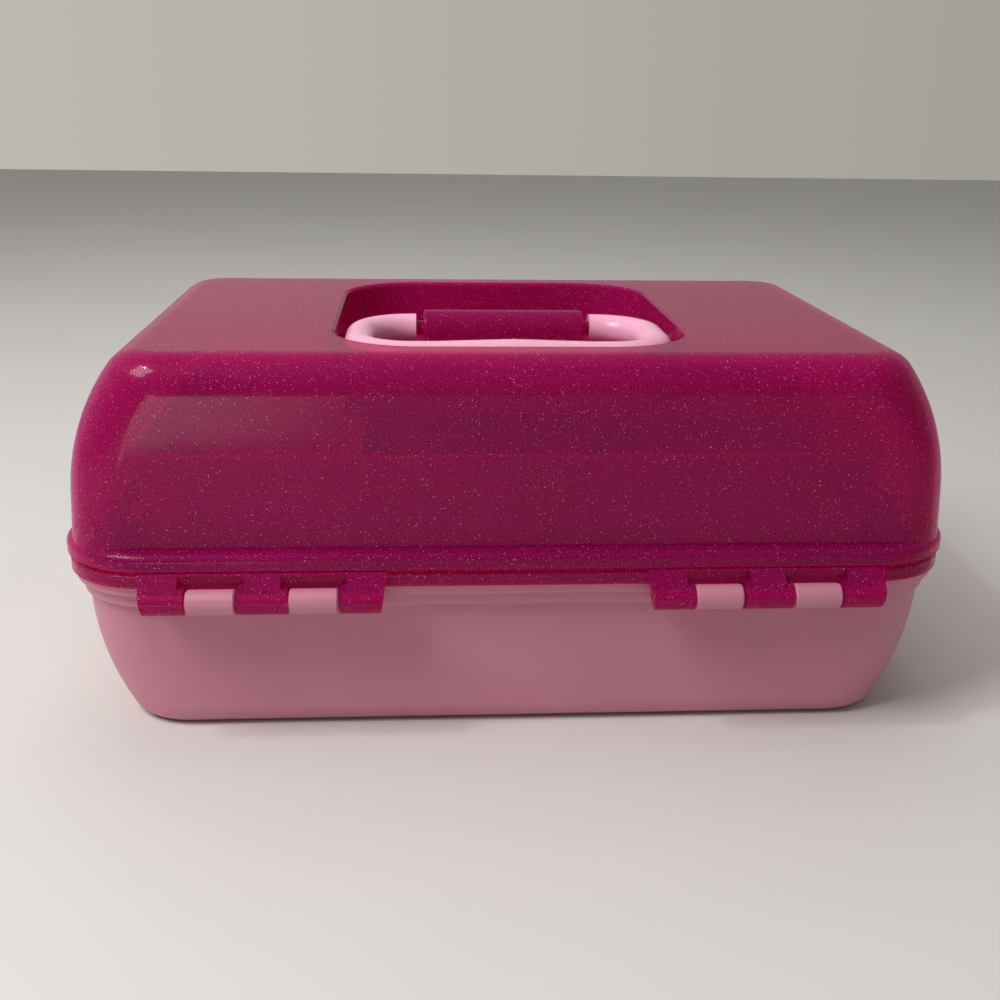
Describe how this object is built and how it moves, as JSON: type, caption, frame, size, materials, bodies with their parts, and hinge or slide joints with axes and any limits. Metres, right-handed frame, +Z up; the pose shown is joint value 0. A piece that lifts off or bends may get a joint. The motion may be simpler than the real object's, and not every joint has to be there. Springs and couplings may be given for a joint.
{
  "type": "make-up storage case",
  "caption": "Hard make-up case with a clear lid on two hinges, a folding handle in the lid's recess, a tray that swings up with the lid, a mirror and a front catch",
  "frame": {"origin": "middle of the underside, on the surface that the case stands on", "axes": "+X along the hinge line, to the right of someone who opens the case from the front; +Y from the catch at the front to the hinges at the back; +Z up"},
  "size_m": [0.33, 0.2215, 0.1405],
  "materials": {
    "lid_plastic": "polished",
    "base_plastic": "polished",
    "handle_plastic": "polished",
    "tray_plastic": "satin",
    "pin_plastic": "satin",
    "mirror": "polished"
  },
  "bodies": {
    "base": {"base_shell": "base_plastic", "hinge_pin_left": "pin_plastic", "hinge_pin_right": "pin_plastic", "base_pivot_pin_left": "pin_plastic", "base_pivot_pin_right": "pin_plastic"},
    "lid": {"lid_shell": "lid_plastic", "mirror_frame": "tray_plastic", "mirror_glass": "mirror", "catch_pin": "pin_plastic", "lid_pivot_pin_left": "pin_plastic", "lid_pivot_pin_right": "pin_plastic"},
    "handle": {"carry_handle": "handle_plastic"},
    "catch": {"catch_plate": "handle_plastic"},
    "arm_left": {"tray_arm_left": "tray_plastic"},
    "arm_right": {"tray_arm_right": "tray_plastic"},
    "tray_body": {"tray": "tray_plastic", "tray_pivot_pin_left": "pin_plastic", "tray_pivot_pin_right": "pin_plastic", "tray_divider_1": "tray_plastic", "tray_divider_2": "tray_plastic", "tray_divider_3": "tray_plastic"}
  },
  "joints": [
    {"name": "lid_hinge", "type": "hinge", "parent": "base", "child": "lid", "pos_m": [0, 0.1055, 0.0553], "axis": [-1, 0, 0], "range_deg": [0, 100]},
    {"name": "handle_fold", "type": "hinge", "parent": "lid", "child": "handle", "pos_m": [0, 0, 0.133], "axis": [1, 0, 0], "range_deg": [0, 180]},
    {"name": "catch_flip", "type": "hinge", "parent": "lid", "child": "catch", "pos_m": [0, -0.1076, 0.079], "axis": [-1, 0, 0], "range_deg": [0, 100]},
    {"name": "arm_left_swing", "type": "hinge", "parent": "base", "child": "arm_left", "pos_m": [-0.1457, -0.0025, 0.0498], "axis": [-1, 0, 0], "range_deg": [0, 100]},
    {"name": "arm_right_swing", "type": "hinge", "parent": "base", "child": "arm_right", "pos_m": [0.1457, -0.0025, 0.0498], "axis": [-1, 0, 0], "range_deg": [0, 100]},
    {"name": "tray_level", "type": "hinge", "parent": "arm_right", "child": "tray_body", "pos_m": [0.1457, -0.05, 0.066], "axis": [1, 0, 0], "range_deg": [0, 100]}
  ],
  "couplings": [
    {"joint": "arm_left_swing", "follows": "lid_hinge", "ratio": 1},
    {"joint": "arm_right_swing", "follows": "lid_hinge", "ratio": 1},
    {"joint": "tray_level", "follows": "lid_hinge", "ratio": 1}
  ]
}
